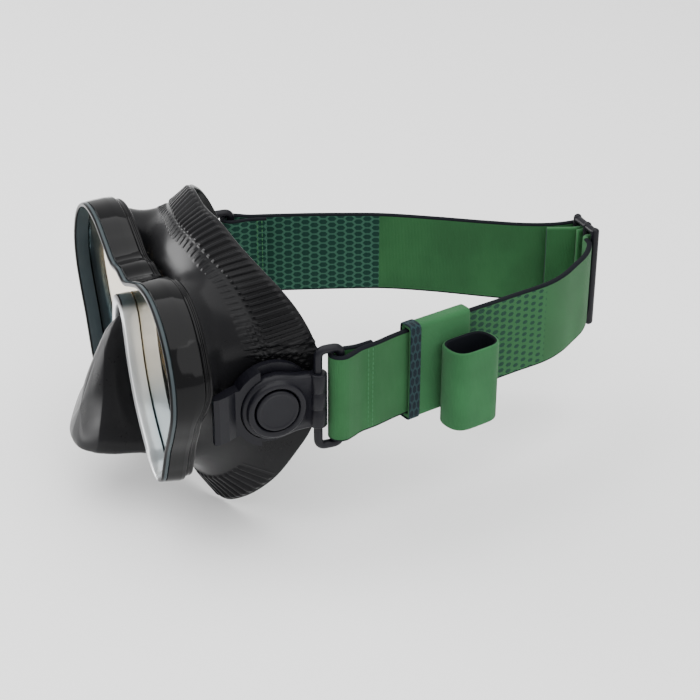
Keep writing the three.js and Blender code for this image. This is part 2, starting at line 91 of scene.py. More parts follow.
# ------------------------------------------------------------------ curves
def spline(points, params, closed):
    """Centripetal Catmull-Rom through points (n, ..., 3) at params from 0 to 1."""
    points = np.asarray(points, float)
    count = len(points)
    place = np.asarray(params, float) * (count if closed else count - 1)
    first = np.floor(place).astype(int)
    if not closed:
        first = np.minimum(first, count - 2)
    local = place - first
    if closed:
        p0, p1, p2, p3 = (points[(first + k) % count] for k in (-1, 0, 1, 2))
    else:
        padded = np.concatenate([[2 * points[0] - points[1]], points, [2 * points[-1] - points[-2]]])
        p0, p1, p2, p3 = (padded[first + k] for k in (0, 1, 2, 3))
    gap = [np.maximum(np.linalg.norm(b - a, axis=-1, keepdims=True) ** 0.5, 1e-4)
           for a, b in ((p0, p1), (p1, p2), (p2, p3))]
    t1 = ((p1 - p0) / gap[0] - (p2 - p0) / (gap[0] + gap[1]) + (p2 - p1) / gap[1]) * gap[1]
    t2 = ((p2 - p1) / gap[1] - (p3 - p1) / (gap[1] + gap[2]) + (p3 - p2) / gap[2]) * gap[1]
    w = local.reshape((-1,) + (1,) * (points.ndim - 1))
    return (p1 + t1 * w + (-3 * p1 + 3 * p2 - 2 * t1 - t2) * w ** 2
            + (2 * p1 - 2 * p2 + t1 + t2) * w ** 3)


def even(points, count, closed):
    """The same curve at evenly spaced points."""
    fine = spline(points, np.linspace(0, 1, 3000), closed)
    length = np.concatenate([[0], np.cumsum(np.linalg.norm(np.diff(fine, axis=0), axis=1))])
    wanted = np.linspace(0, length[-1], count + 1 if closed else count)
    wanted = wanted[:-1] if closed else wanted
    return np.stack([np.interp(wanted, length, fine[:, k]) for k in range(fine.shape[1])], 1)


def even_loop(path, count):
    """A closed flat path at evenly spaced points."""
    return even(np.pad(path, ((0, 0), (0, 1))), count, True)[:, :2]


def rightward(path):
    """Unit normals of a closed flat path, to the right of its direction."""
    ahead = np.roll(path, -1, 0) - np.roll(path, 1, 0)
    ahead /= np.linalg.norm(ahead, axis=1, keepdims=True)
    return np.stack([ahead[:, 1], -ahead[:, 0]], 1)


def mirrored_loop(half):
    half = np.asarray(half, float)
    other = half[1:-1][::-1].copy()
    other[:, 0] *= -1
    return np.concatenate([half, other])


def smoothstep(value, low, high):
    t = np.clip((value - low) / (high - low), 0, 1)
    return t * t * (3 - 2 * t)


def fillet(corners, radius, steps=4):
    """A closed polygon with its corners rounded."""
    corners = [np.asarray(c, float) for c in corners]
    out = []
    for i, corner in enumerate(corners):
        before, after = corners[i - 1] - corner, corners[(i + 1) % len(corners)] - corner
        cut = min(radius, np.linalg.norm(before) * 0.49, np.linalg.norm(after) * 0.49)
        a = corner + before / np.linalg.norm(before) * cut
        b = corner + after / np.linalg.norm(after) * cut
        for k in range(steps + 1):
            t = k / steps
            out.append((1 - t) ** 2 * a + 2 * t * (1 - t) * corner + t * t * b)
    return np.array(out)


# ------------------------------------------------------------------ meshes
def make_mesh(name, vertices, faces, materials, uv=None, face_material=None):
    mesh = bpy.data.meshes.new(name)
    mesh.from_pydata((np.asarray(vertices) * MM + ORIGIN).tolist(), [], faces)
    for material in materials:
        mesh.materials.append(material)
    if uv is not None:
        layer = mesh.uv_layers.new(name="along")
        layer.data.foreach_set("uv", np.asarray(uv, np.float32).ravel())
    if face_material is not None:
        mesh.polygons.foreach_set("material_index", np.asarray(face_material, np.int32))
    work = bmesh.new()
    work.from_mesh(mesh)
    bmesh.ops.recalc_face_normals(work, faces=work.faces)
    work.to_mesh(mesh)
    work.free()
    mesh.polygons.foreach_set("use_smooth", [True] * len(mesh.polygons))
    piece = bpy.data.objects.new(name, mesh)
    bpy.context.scene.collection.objects.link(piece)
    return piece


def loft_faces(rings, around, closed):
    faces = []
    for i in range(rings if closed else rings - 1):
        a, b = i * around, ((i + 1) % rings) * around
        for j in range(around):
            k = (j + 1) % around
            faces.append((a + j, a + k, b + k, b + j))
    return faces


def loft(name, rings, materials, closed=True):
    """A skin over rings (rings, around, 3): joined last to first, or closed by flat ends."""
    rings = np.asarray(rings, float)
    count, around = rings.shape[:2]
    faces = loft_faces(count, around, closed)
    if not closed:
        faces += [tuple(range(around))[::-1], tuple((count - 1) * around + j for j in range(around))]
    return make_mesh(name, rings.reshape(-1, 3), faces, materials)


def bevelled(node, width):
    """A CAD node keeps its mesh and gets small rounded edges."""
    bevel = frame["nodes"][node].modifiers.new("edges", "BEVEL")
    bevel.width = width * MM
    bevel.segments = 2
    bevel.limit_method = "ANGLE"
    bevel.angle_limit = math.radians(35)
    bevel.use_clamp_overlap = True


def finish_piece(piece, body, slot, *nodes):
    """The piece moves with its body and stands in for these CAD nodes; slot is not used."""
    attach(piece, body)
    if nodes:
        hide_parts(*nodes)


# ------------------------------------------------------------------ materials
class Nodes:
    """Short names for building a material's nodes."""

    def __init__(self, name):
        self.material = bpy.data.materials.new(name)
        self.material.use_nodes = True
        self.tree = self.material.node_tree
        self.shader = self.tree.nodes["Principled BSDF"]

    def add(self, kind, **inputs):
        node = self.tree.nodes.new(kind)
        for key, value in inputs.items():
            self.put(node.inputs[key.replace("_", " ")], value)
        return node

    def put(self, socket, value):
        if isinstance(value, bpy.types.NodeSocket):
            self.tree.links.new(value, socket)
        else:
            socket.default_value = value

    def math(self, operation, first, second=0.0, third=0.0):
        node = self.tree.nodes.new("ShaderNodeMath")
        node.operation = operation
        for socket, value in zip(node.inputs, (first, second, third)):
            self.put(socket, value)
        return node.outputs[0]

    def smooth(self, value, low, high):
        node = self.tree.nodes.new("ShaderNodeMapRange")
        node.interpolation_type = "SMOOTHSTEP"
        for key, item in (("Value", value), ("From Min", low), ("From Max", high)):
            self.put(node.inputs[key], item)
        return node.outputs["Result"]

    def span(self, value, low, high):
        node = self.tree.nodes.new("ShaderNodeMapRange")
        for key, item in (("Value", value), ("To Min", low), ("To Max", high)):
            self.put(node.inputs[key], item)
        return node.outputs["Result"]

    def mix(self, factor, first, second):
        node = self.tree.nodes.new("ShaderNodeMix")
        node.data_type = "RGBA"
        self.put(node.inputs["Factor"], factor)
        self.put(node.inputs["A"], first if not isinstance(first, tuple) else (*first, 1))
        self.put(node.inputs["B"], second if not isinstance(second, tuple) else (*second, 1))
        return node.outputs["Result"]

    def place(self):
        return self.tree.nodes.new("ShaderNodeTexCoord").outputs["Object"]

    def axes(self, vector):
        return self.add("ShaderNodeSeparateXYZ", Vector=vector).outputs

    def inverse(self, value):
        return self.math("SUBTRACT", 1.0, value)

    def noise(self, scale, detail=3.0, roughness=0.5):
        return self.add("ShaderNodeTexNoise", Vector=self.place(), Scale=scale, Detail=detail,
                        Roughness=roughness).outputs["Fac"]

    def bump(self, height, strength, distance):
        return self.add("ShaderNodeBump", Height=height, Strength=strength,
                        Distance=distance).outputs["Normal"]

    def set(self, **inputs):
        for key, value in inputs.items():
            self.put(self.shader.inputs[key.replace("_", " ")], value)
        return self.material


def moulded(name, dark, light, rough_low, rough_high, grain, bump, shine):
    """Plastic or silicone: colour and gloss drift a little, with a fine grain."""
    nodes = Nodes(name)
    cloudy = nodes.noise(45.0)
    fine = nodes.noise(grain, 4.0, 0.6)
    return nodes.set(
        Base_Color=nodes.mix(cloudy, dark, light),
        Roughness=nodes.span(nodes.math("MULTIPLY_ADD", fine, 0.4, nodes.math("MULTIPLY", cloudy, 0.6)),
                             rough_low, rough_high),
        Specular_IOR_Level=shine, IOR=1.48, Normal=nodes.bump(fine, bump, 0.0001))


def brushed_metal(name, colour, roughness):
    nodes = Nodes(name)
    streaks = nodes.noise(900.0, 2.0)
    return nodes.set(Base_Color=(*colour, 1), Metallic=1.0,
                     Roughness=nodes.span(streaks, roughness * 0.7, roughness * 1.4),
                     Normal=nodes.bump(streaks, 0.1, 0.00005))


def coated_glass():
    """Clear glass with a warm mirror film that turns blue-grey towards its outer edges."""
    nodes = Nodes("coated_glass")
    axes = nodes.axes(nodes.place())
    across = nodes.math("ABSOLUTE", axes["X"])
    reach = nodes.math("ADD", across, nodes.math("MULTIPLY", axes["Z"], -0.35))
    outer = nodes.smooth(reach, 58 * MM, 66 * MM)
    slant = nodes.math("SUBTRACT", nodes.math("MULTIPLY", across, 0.6), axes["Z"])
    streak = nodes.math("MULTIPLY", nodes.noise(14.0), 14 * MM)
    low = nodes.smooth(nodes.math("ADD", slant, streak), 17 * MM, 42 * MM)
    tint = nodes.mix(low, (0.95, 0.85, 0.66), (0.30, 0.41, 0.44))
    tint = nodes.mix(outer, tint, (0.16, 0.23, 0.25))
    mirror = nodes.math("SUBTRACT", 0.8, nodes.math("MULTIPLY", low, 0.25))
    return nodes.set(
        Base_Color=tint, Metallic=nodes.math("MULTIPLY", mirror, nodes.span(outer, 1.0, 0.15)),
        Transmission_Weight=1.0, IOR=1.5, Specular_IOR_Level=nodes.span(outer, 0.5, 0.2),
        Roughness=nodes.span(nodes.noise(30.0), 0.02, 0.06))


def bright_trim():
    """Polished trim: silver beside the nose, elsewhere black in front; the inner wall's blue-grey is a
    painted reflection of dark chrome.
    """
    nodes = Nodes("bright_trim")
    cloudy = nodes.noise(60.0)
    axes = nodes.axes(nodes.place())
    across = nodes.math("ABSOLUTE", axes["X"])
    silver = nodes.math("MULTIPLY", nodes.inverse(nodes.smooth(across, 50 * MM, 53 * MM)),
                        nodes.inverse(nodes.smooth(axes["Z"], 20 * MM, 25 * MM)))
    metal = nodes.mix(cloudy, (0.62, 0.64, 0.65), (0.80, 0.81, 0.82))
    front = ORIGIN[1] + TRIM_FRONT * MM
    # Behind the black front lip, the inner wall's blue-grey is painted reflection, standing in for the sheen
    # of dark chrome.
    inner = nodes.smooth(axes["Y"], front + 0.7 * MM, front + 1.2 * MM)
    dark = nodes.mix(inner, (0.003, 0.003, 0.0035), (0.042, 0.054, 0.059))
    return nodes.set(
        Base_Color=nodes.mix(silver, dark, metal), Metallic=nodes.span(silver, 0.0, 0.6),
        Specular_IOR_Level=nodes.span(silver, 0.12, 0.5), Roughness=nodes.span(cloudy, 0.12, 0.24))


def hexagons(nodes, along, up, cell_long, cell_high):
    """Distance from a cell's middle in a stretched honeycomb, 0 at the middle and 0.5 at its edge."""
    ratio = math.sqrt(3)
    x = nodes.math("DIVIDE", up, cell_high)
    y = nodes.math("DIVIDE", along, cell_long)

    def fold(value, shift, period):
        shifted = nodes.math("ADD", value, shift + 20 * period)
        wrapped = nodes.math("FLOORED_MODULO", shifted, period)
        return nodes.math("ABSOLUTE", nodes.math("SUBTRACT", wrapped, period / 2))

    edges = []
    for shift_x, shift_y in ((0.0, 0.0), (0.5, ratio / 2)):
        across, away = fold(x, shift_x, 1.0), fold(y, shift_y, ratio)
        slant = nodes.math("ADD", nodes.math("MULTIPLY", across, 0.5),
                           nodes.math("MULTIPLY", away, ratio / 2))
        edges.append(nodes.math("MAXIMUM", across, slant))
    return nodes.math("MINIMUM", *edges)


KNIT_ROW, KNIT_LOOP = 0.55, 0.7  # height and length of a stitch, in mm
CELL_REACH, CELL_SOFT = 0.40, 0.04


def knit(name, plain, cell=None, line=None, pattern=None, fade=0.0, cell_size=(4.9, 3.2)):
    """Nylon-faced neoprene: a fine knit, with a honeycomb print over part of its length.

    pattern is the stretch of the strap, in mm from its ring, that carries the print, and fade is
    how much smaller its cells are at the far end.
    """
    nodes = Nodes(name)
    uv = nodes.tree.nodes.new("ShaderNodeUVMap")
    uv.uv_map = "along"
    flat = nodes.axes(uv.outputs["UV"])
    along, up = flat["X"], flat["Y"]
    knit_row = nodes.math("SINE", nodes.math("MULTIPLY", up, 2 * math.pi / KNIT_ROW))
    knit_loop = nodes.math("SINE", nodes.math("MULTIPLY_ADD", along, 2 * math.pi / KNIT_LOOP,
                                              nodes.math("MULTIPLY", knit_row, 0.9)))
    loops = nodes.math("MULTIPLY", knit_row, knit_loop)
    cloudy = nodes.noise(38.0)
    fuzz = nodes.noise(2200.0, 2.0)
    colour = nodes.mix(nodes.smooth(cloudy, 0.3, 0.7), tuple(0.86 * c for c in plain),
                       tuple(1.12 * c for c in plain))
    colour = nodes.mix(nodes.span(loops, 0.0, 0.22), colour, tuple(0.45 * c for c in plain))
    if pattern:
        edge = hexagons(nodes, along, up, *cell_size)
        start, end = pattern
        inside = nodes.math("MULTIPLY", nodes.math("GREATER_THAN", along, start),
                            nodes.math("LESS_THAN", along, end))
        shrink = nodes.math("MULTIPLY", nodes.smooth(along, start, end), fade)
        limit = nodes.math("SUBTRACT", CELL_REACH, shrink)
        cells = nodes.inverse(nodes.smooth(edge, nodes.math("SUBTRACT", limit, CELL_SOFT), limit))
        printed = nodes.mix(cells, line, cell)
        colour = nodes.mix(inside, colour, printed)
    height = nodes.math("ADD", nodes.math("MULTIPLY", loops, 0.5), fuzz)
    return nodes.set(Base_Color=colour, Roughness=nodes.span(fuzz, 0.78, 0.95), Sheen_Weight=0.06,
                     Sheen_Roughness=0.5, Specular_IOR_Level=0.15,
                     Normal=nodes.bump(height, 0.55, 0.00025))


GREEN = (0.023, 0.097, 0.033)
looks = {
    "glass": coated_glass(),
    "trim": bright_trim(),
    "frame": moulded("polished_black", (0.0015, 0.0015, 0.0018), (0.003, 0.003, 0.0035),
                     0.06, 0.13, grain=700, bump=0.02, shine=0.16),
    "silicone": moulded("black_silicone", (0.003, 0.003, 0.0035), (0.008, 0.008, 0.009),
                        0.22, 0.36, grain=900, bump=0.1, shine=0.14),
    "buckle": moulded("satin_black", (0.003, 0.003, 0.005), (0.006, 0.006, 0.009),
                      0.3, 0.42, grain=1600, bump=0.15, shine=0.2),
    "core": moulded("neoprene_core", (0.003, 0.004, 0.006), (0.007, 0.008, 0.011),
                    0.7, 0.9, grain=2500, bump=0.5, shine=0.1),
    "steel": brushed_metal("steel", (0.58, 0.58, 0.6), 0.3),
    "thread": moulded("green_thread", (0.03, 0.11, 0.045), (0.05, 0.17, 0.07),
                      0.6, 0.8, grain=4000, bump=0.4, shine=0.2),
    "strap_left": knit("strap_print_left", GREEN, cell=(0.006, 0.034, 0.022), line=GREEN,
                       pattern=(60, 118), fade=0.12),
    "strap_right": knit("strap_print_right", GREEN, cell=(0.003, 0.028, 0.020),
                        line=(0.030, 0.095, 0.062), pattern=(-40, 78)),
    "keeper": knit("keeper_fabric", (0.026, 0.112, 0.040)),
    "hem": knit("keeper_hem", (0.004, 0.016, 0.019), cell=(0.003, 0.009, 0.014),
                line=(0.012, 0.032, 0.036), pattern=(-500, 500), cell_size=(4.6, 2.4)),
}

# ------------------------------------------------------------------ front: glass, trim, frame
HALF_OUTLINE = [
    [0, 0], [10, -1], [22, 3.5], [34, 8], [46, 9.3], [57, 7.2], [67, 1.5], [75, -8], [79.6, -20],
    [79, -32], [73.5, -44], [67, -55], [62, -66], [57.5, -74], [50, -78], [41, -76.5], [31, -69.5],
    [21.5, -60.5], [14, -50], [9, -39], [6, -28], [3.8, -21.5], [0, -18.5],
]
OUTLINE = even_loop(mirrored_loop(HALF_OUTLINE), 420)


NOTCH_HALF_WIDTH, NOTCH_TOP = 44, -12
TRIM_WIDE_FROM, TRIM_EXTRA = 2.0, 2.9      # the trim's inner wall stands further in beside the notch


def inset(distance, extra=0.0):
    """The outline moved inwards, further beside the nose notch by extra."""
    x, z = OUTLINE.T
    near = smoothstep(NOTCH_HALF_WIDTH - np.abs(x), 0, 10) * smoothstep(NOTCH_TOP - z, 0, 8)
    step = (distance + extra * near)[:, None]
    return OUTLINE + rightward(OUTLINE) * step


TUCK_TOP, TUCK_FADE = -22, 18
TUCK_SIDE = (20, 45)
TUCK_BACK = (5, 13), (17, 32)    # along y, where the tuck starts and where it ends


def band_of(value, rise, fall):
    """1 between two limits and 0 outside them, with soft edges."""
    return smoothstep(value, *rise) * (1 - smoothstep(value, *fall))


def tucked(points):
    """The rear of the frame comes forward below the temples, and the skirt's front goes with it."""
    x, y, z = np.moveaxis(points, -1, 0)
    low = smoothstep(TUCK_TOP - z, 0, TUCK_FADE) * smoothstep(np.abs(x), *TUCK_SIDE)
    moved = points.copy()
    moved[..., 1] -= TUCK * low * band_of(y, *TUCK_BACK)
    return moved


def outline_ring(distance, y, extra=0.0):
    flat = inset(distance, extra)
    return tucked(np.stack([flat[:, 0], np.full(len(flat), y), flat[:, 1]], 1))


def rim(name, section, radius, material, extra_from=0.0, extra=0.0):
    """A bar of the given section, as (inset, y) corners, run round the outline."""
    rings = [outline_ring(d, y, extra if d >= extra_from else 0.0) for d, y in fillet(section, radius)]
    return loft(name, rings, [material])


def build_glass():
    levels = [(1.9, GLASS_FRONT), (1.45, GLASS_FRONT + 0.15), (1.3, GLASS_FRONT + 0.5),
              (1.3, GLASS_BACK - 0.5), (1.45, GLASS_BACK - 0.15), (1.9, GLASS_BACK)]
    glass = loft("glass_pane", [outline_ring(d, y) for d, y in levels], [looks["glass"]], closed=False)
    for face in glass.data.polygons:
        face.use_smooth = len(face.vertices) == 4
    finish_piece(glass, "mask", "lens_glass", "lens")


def build_front():
    build_glass()
    trim_section = [(0.5, TRIM_FRONT + 1.0), (1.0, TRIM_FRONT), (2.4, TRIM_FRONT + 0.2), (2.6, TRIM_BACK),
                    (1.4, TRIM_BACK), (1.4, TRIM_STEP), (0.5, TRIM_STEP)]
    trim = rim("bright_trim_ring", trim_section, 0.4, looks["trim"], TRIM_WIDE_FROM, TRIM_EXTRA)
    finish_piece(trim, "mask", "bezel_silver", "front_bezel")

    frame_section = [(0.35, FRAME_FRONT), (0.0, 4.0), (-0.35, FRAME_STEP), (-0.2, FRAME_BACK),
                     (3.6, FRAME_BACK), (3.6, FRAME_STEP), (1.0, FRAME_STEP), (1.0, FRAME_FRONT)]
    body = rim("frame_shell", frame_section, 0.55, looks["frame"])
    finish_piece(body, "mask", "frame_black", "frame")

    clamp_section = [(1.2, CLAMP_FRONT), (0.9, 14.3), (1.4, 14.7), (1.4, 15.1), (1.0, 15.5),
                     (1.4, CLAMP_BACK), (4.8, CLAMP_BACK), (4.8, CLAMP_FRONT)]
    rear = rim("retaining_ring_moulded", clamp_section, 0.4, looks["frame"])
    finish_piece(rear, "mask", "frame_black", "retaining_ring")

    bead_front, bead_back = GLASS_BACK + 0.2, GLASS_BACK + 1.2
    bead_section = [(2.1, bead_front), (2.1, bead_back), (4.6, bead_back), (4.6, bead_front)]
    bead = rim("skirt_bead", bead_section, 0.4, looks["silicone"])
    finish_piece(bead, "mask", "silicone_black")


# ------------------------------------------------------------------ silicone
SKIRT_RINGS = [
    [[0, 17, -7], [14, 17, -6], [30, 17, 2], [45, 17, 4.5], [58, 17, 1.5], [68, 17, -7],
     [72.5, 17, -19], [71.5, 17, -31], [67, 17, -43], [61, 17, -54], [56, 17, -65], [47, 17, -72.5],
     [33, 17, -79], [16, 17, -88], [0, 17, -90]],
    [[0, 21, 6], [14, 22, 5.5], [30, 23, 5], [43, 24, 4.5], [54, 25, -0.5], [62, 26, -9],
     [65, 26.5, -21], [64, 27, -34], [62.5, 26.5, -46], [59, 25.5, -58], [53, 24, -69],
     [45, 22.5, -77], [31, 21, -84], [14, 19.5, -90], [0, 19, -91]],
    [[0, 27, 14], [14, 28, 14], [30, 31, 11], [43, 35, 6.5], [52, 38.5, -1], [58.5, 42, -11],
     [60.5, 45, -24], [60.5, 46, -38], [59.5, 44, -53], [56, 40, -67], [48.5, 34, -79], [38, 28, -88],
     [25, 24, -92], [12, 22, -92.5], [0, 21.5, -92.5]],
    [[0, 38.5, 22], [18, 39.5, 22.3], [35, 43, 17.2], [48, 48.5, 10.8], [57, 54, 4], [62, 60, -6],
     [64.3, 65, -19], [64.8, 67, -38], [63.5, 63.5, -57], [59, 57, -72], [51, 49.5, -88],
     [40, 40, -101], [29, 33.5, -106.5], [14, 29, -100], [0, 27, -97]],
]
NOSE_POLE = [0, -21, -64]
NOSE_RINGS = [
    [[0, -13.5, -44], [1.6, -14, -45], [3.2, -15, -48], [4.8, -16.5, -53], [6.4, -18, -59], [8, -20, -66],
     [9, -22, -72], [9, -23.8, -76], [7.7, -24.8, -78.5], [5.4, -25.2, -79.5], [2.6, -25.4, -80],
     [0, -25.4, -80]],
    [[0, -9, -33], [2.6, -9, -34.5], [5.2, -10, -39], [8.3, -11.5, -46], [11.5, -13, -54], [14.7, -15, -61],
     [17.6, -17, -67], [19.2, -18.5, -73], [17.6, -19.5, -78], [12.8, -19.5, -80.5], [6.4, -19.5, -81.5],
     [0, -19.5, -81.5]],
    [[0, -5, -27], [3, -5.5, -29], [5, -6, -34], [7.6, -7, -42], [11.8, -8.5, -51], [16.3, -10, -59],
     [20.5, -11, -66], [22.8, -12, -73], [22, -12.3, -77.5], [16.8, -12.3, -80.5], [8.6, -12.3, -81.5],
     [0, -12.3, -81.5]],
    [[0, 0, -22.5], [2.6, 0, -25.5], [4.4, 0, -30], [7, 0, -39], [11.4, 0, -50], [17.5, 0, -59.6],
     [23, 0, -67], [26, 0, -72.5], [26, 0, -77], [21, 0, -80.5], [11, 0, -82.5], [0, 0, -83]],
    [[0, 16.4, -21], [2.8, 16.4, -24], [4.8, 16.4, -29], [7.6, 16.4, -39], [12.3, 16.4, -50],
     [19, 16.4, -59.6], [25.5, 16.4, -67], [29.5, 16.4, -74], [29.5, 16.4, -80], [23, 16.4, -86],
     [12, 16.4, -89.5], [0, 16.4, -90.5]],
]


def surface(rings, turns, alongs, pole=None):
    """Points of a skin through nested rings, as (alongs, turns, 3), and their outward normals."""
    def at(turn, along):
        loops = np.stack([spline(mirrored_loop(ring), turn % 1.0, True) for ring in rings])
        if pole is not None:
            loops = np.concatenate([np.broadcast_to(np.array(pole, float), loops[:1].shape), loops])
        return spline(loops, along, False)
    here = at(turns, alongs)
    ahead = at(turns + 0.002, alongs) - at(turns - 0.002, alongs)
    back = at(turns, np.minimum(alongs + 0.01, 1)) - at(turns, np.maximum(alongs - 0.01, 0))
    normal = np.cross(ahead, back)
    size = np.linalg.norm(normal, axis=-1, keepdims=True)
    return here, normal / np.maximum(size, 1e-9)


# Where the skirt's relief lies. v runs from 0 at the frame to 1 at the edge, and turn from 0 at the
# forehead to 0.5 under the nose. A band is where it rises and where it falls.
SKIRT_GIRTH = 390.0
RIB_PITCH = 3.3
STUD_ROWS = 14
FLANGE_BAND = (0.685, 0.71), (0.97, 0.985)
NECK_BAND = (0.50, 0.54), (0.63, 0.665)
CHEEK_TURNS = (0.345, 0.36), (0.43, 0.45)
BROW_END = (0.195, 0.215)
STUD_BAND = (0.56, 0.6), (0.93, 0.96)
STUD_TURNS = (0.16, 0.175), (0.235, 0.25)
RIB_HEIGHT, FINE_RIB_HEIGHT, STUD_HEIGHT = 1.0, 0.35, 0.6
LEDGES = (0.9, -20.5, 1.1), (0.6, -16.6, 0.8)      # height, place up the side and width


def skirt_relief(points, turns, alongs):
    """Height of the ribs, studs and ledges moulded on the outside of the skirt, in mm."""
    x, z = points[..., 0], points[..., 2]
    v = alongs[:, None]
    turn = np.minimum(turns, 1 - turns)[None, :]
    wave = np.cos(2 * np.pi * turn * SKIRT_GIRTH / RIB_PITCH)
    on_flange = band_of(v, *FLANGE_BAND)
    brow = 1 - smoothstep(turn, *BROW_END)
    cheek = band_of(turn, *CHEEK_TURNS)
    relief = RIB_HEIGHT * smoothstep(wave, -0.25, 0.35) * on_flange * np.maximum(brow, 0.8 * cheek)
    relief += FINE_RIB_HEIGHT * smoothstep(wave, 0.1, 0.6) * band_of(v, *NECK_BAND) * brow
    studded = band_of(turn, *STUD_TURNS) * band_of(v, *STUD_BAND) * (1 - brow * on_flange)
    relief += STUD_HEIGHT * smoothstep(wave * np.cos(2 * np.pi * v * STUD_ROWS), 0.25, 0.6) * studded
    side = smoothstep(np.abs(x), 50, 55) * smoothstep(v, 0.58, 0.64)
    for height, up, width in LEDGES:
        relief += height * np.exp(-((z - up) / width) ** 2) * side
    return relief


def crisp(rings, index, share):
    """The ring at index becomes two close ones, so that the skin turns sharply there."""
    ring, before, after = (np.array(rings[k], float) for k in (index, index - 1, index + 1))
    pair = [(ring + (before - ring) * share).tolist(), (ring + (after - ring) * share).tolist()]
    return rings[:index] + pair + rings[index + 1:]


WALL, EDGE_WALL = 1.8, 1.4       # thickness of the silicone at the frame and at its free edge


def silicone_shell(name, rings, turn_count, along_count, relief=None, pole=None):
    """A moulded wall through nested rings, with a rounded free edge; a pole closes its front."""
    turns = np.arange(turn_count) / turn_count
    alongs = np.linspace(0.0 if pole is None else 0.004, 1.0, along_count)
    outside, normal = surface(rings, turns, alongs, pole)
    outside = tucked(outside)
    thick = (WALL + (EDGE_WALL - WALL) * alongs)[:, None, None]
    inside = outside - normal * thick
    if relief is not None:
        outside = outside + normal * relief(outside, turns, alongs)[..., None]
    back = outside[-1] - outside[-2]
    back /= np.linalg.norm(back, axis=-1, keepdims=True)
    middle, half = (outside[-1] + inside[-1]) / 2, (outside[-1] - inside[-1]) / 2
    reach = np.linalg.norm(half, axis=-1, keepdims=True)
    lip = [middle + half * math.cos(angle) + back * reach * math.sin(angle)
           for angle in np.linspace(0, math.pi, 7)[1:-1]]
    skins = [*outside, *lip, *inside[::-1]]
    return loft(name, skins, [looks["silicone"]], closed=pole is None)


def build_silicone():
    skirt = silicone_shell("ribbed_skirt", SKIRT_RINGS, 1440, 84, skirt_relief)
    finish_piece(skirt, "mask", "silicone_black", "skirt")
    nose = silicone_shell("nose_pocket_moulded", crisp(NOSE_RINGS, 1, 0.07), 320, 90, pole=NOSE_POLE)
    finish_piece(nose, "mask", "silicone_black", "nose_pocket")


# ------------------------------------------------------------------ buckles
ANGLES = np.linspace(0, 2 * np.pi, 144, endpoint=False)
COLLAR = ((12.9, 1.9), (12.5, 0.5), (12.1, 0.1), (11.6, 0.0), (10.5, 0.0), (10.0, 0.3), (9.7, 0.9),
          (9.6, 4.5))            # radius, and depth below the housing's face
BARREL_HALF = ((3.7, 3.8), (3.9, 3.55), (4.1, 3.8), (12.0, 3.8), (12.35, 3.6),
               (12.5, 3.2))      # distance from the middle, and radius
CAP = ((9.0, 2.2), (BUTTON_R, 1.9), (BUTTON_R, 0.7), (9.0, 0.25), (8.5, 0.0), (7.9, 0.0), (7.5, 0.2),
       (6.9, 0.32), (4.0, 0.42), (1.0, 0.45))      # radius, and depth below the button's top
BUTTON_PROUD = 0.4
STRAP_RING_CORNER = 3.4


def side_loop(outline, x, side):
    """A loop given about the buckle's axis as (back, up), at that distance from the middle."""
    outline = np.asarray(outline)
    return np.stack([np.full(len(outline), side * x), BUCKLE_Y + outline[:, 0], BUCKLE_Z + outline[:, 1]], 1)


def circle(radius):
    return np.stack([radius * np.cos(ANGLES), radius * np.sin(ANGLES)], 1)


def housing_outline(shrink):
    """A disc with a square-ended arm that reaches back to the barrel."""
    reach, half = STRAP_RING_FRONT_Y - BUCKLE_Y + 0.5, 12.6
    cos, sin = np.maximum(np.cos(ANGLES), 1e-6), np.maximum(np.abs(np.sin(ANGLES)), 1e-6)
    arm = ((reach / cos) ** -9 + (half / sin) ** -9) ** (-1 / 9)
    arm = np.where(np.cos(ANGLES) > 0, arm, 0.1)
    radius = (HOUSING_R ** 12 + arm ** 12) ** (1 / 12) - shrink
    return np.stack([radius * np.cos(ANGLES), radius * np.sin(ANGLES)], 1)


def build_housing(side, word):
    face = HOUSING_FACE
    plate = ((0.6, HOUSING_BACK + 0.05), (0.0, HOUSING_BACK + 0.6), (0.0, face - 3.4), (0.5, face - 2.6),
             (1.3, face - 2.3), (1.7, face - 2.2))
    skins = [side_loop(housing_outline(shrink), x, side) for shrink, x in plate]
    skins += [side_loop(circle(radius), face - depth, side) for radius, depth in COLLAR]
    shell = loft(f"housing_{word}", skins, [looks["buckle"]], closed=False)
    finish_piece(shell, "strap_loop", "buckle_black", f"buckle_housing_{word}")


def build_barrel(side, word):
    """The upright barrel that the strap ring turns in."""
    turns = np.linspace(0, 2 * np.pi, 48, endpoint=False)
    profile = [(-up, radius) for up, radius in BARREL_HALF[::-1]] + list(BARREL_HALF)
    skins = [np.stack([side * STRAP_RING_X + radius * np.cos(turns),
                       STRAP_RING_FRONT_Y + radius * np.sin(turns),
                       np.full(len(turns), BUCKLE_Z + up)], 1) for up, radius in profile]
    barrel = loft(f"ring_barrel_{word}", skins, [looks["buckle"]], closed=False)
    finish_piece(barrel, "strap_loop", "buckle_black")


def build_button(side, word):
    top = HOUSING_FACE + BUTTON_PROUD
    skins = [side_loop(circle(radius), top - depth, side) for radius, depth in CAP]
    cap = loft(f"button_{word}", skins, [looks["buckle"]], closed=False)
    finish_piece(cap, f"button_{word}", "buckle_black", f"release_button_{word}")


